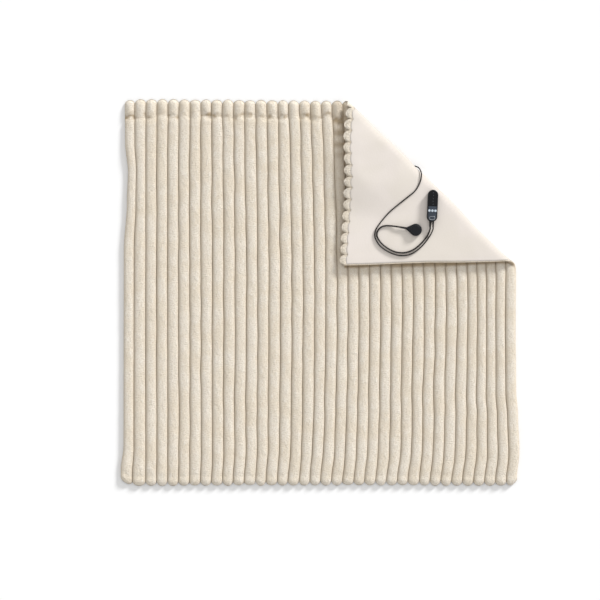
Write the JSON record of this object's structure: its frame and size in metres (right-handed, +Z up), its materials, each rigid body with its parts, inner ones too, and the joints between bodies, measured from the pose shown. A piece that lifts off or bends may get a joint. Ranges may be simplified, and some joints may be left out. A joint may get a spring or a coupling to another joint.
{
  "type": "electric heated blanket",
  "caption": "Ribbed plush heated throw lying flat with a corner folded over; its hand control, disc connector and cords lie on the fold, and the mains lead is coiled underneath.",
  "frame": {"origin": "middle of the cloth's outline, on the surface that its underside lies on", "axes": "+X to the right across the ribs, +Y along the ribs towards the folded edge, +Z up"},
  "size_m": [1.2739, 1.233, 0.0492],
  "materials": {
    "plush": "deep ribbed cream plush",
    "fleece": "smooth brushed fleece",
    "shell_plastic": "satin dark blue-grey moulding",
    "window_plastic": "polished black lens",
    "button_plastic": "pale satin key",
    "cord_sleeve": "black flexible sleeve",
    "blade_metal": "plain stamped blade"
  },
  "bodies": {
    "throw": {"face_panel": "plush", "back_panel": "fleece", "control_base": "shell_plastic", "control_cover": "shell_plastic", "display_window": "window_plastic", "control_cord_relief": "cord_sleeve", "mains_cord_relief": "cord_sleeve", "control_cord": "cord_sleeve", "connector_shell": "shell_plastic", "connector_lid": "shell_plastic", "connector_relief": "cord_sleeve", "mains_cord": "cord_sleeve", "mains_coil": "cord_sleeve", "coil_tie": "cord_sleeve", "mains_cord_tail": "cord_sleeve", "plug_body": "cord_sleeve", "plug_relief": "cord_sleeve", "plug_blade_left": "blade_metal", "plug_blade_right": "blade_metal"},
    "left_key": {"button_left": "button_plastic"},
    "middle_key": {"button_middle": "button_plastic"},
    "right_key": {"button_right": "button_plastic"}
  },
  "joints": [
    {"name": "press_left", "type": "slide", "parent": "throw", "child": "left_key", "axis": [0, 0, -1], "range_m": [0, 0.0008], "stiffness_N_per_m": 1000},
    {"name": "press_middle", "type": "slide", "parent": "throw", "child": "middle_key", "axis": [0, 0, -1], "range_m": [0, 0.0008], "stiffness_N_per_m": 1000},
    {"name": "press_right", "type": "slide", "parent": "throw", "child": "right_key", "axis": [0, 0, -1], "range_m": [0, 0.0008], "stiffness_N_per_m": 1000}
  ]
}
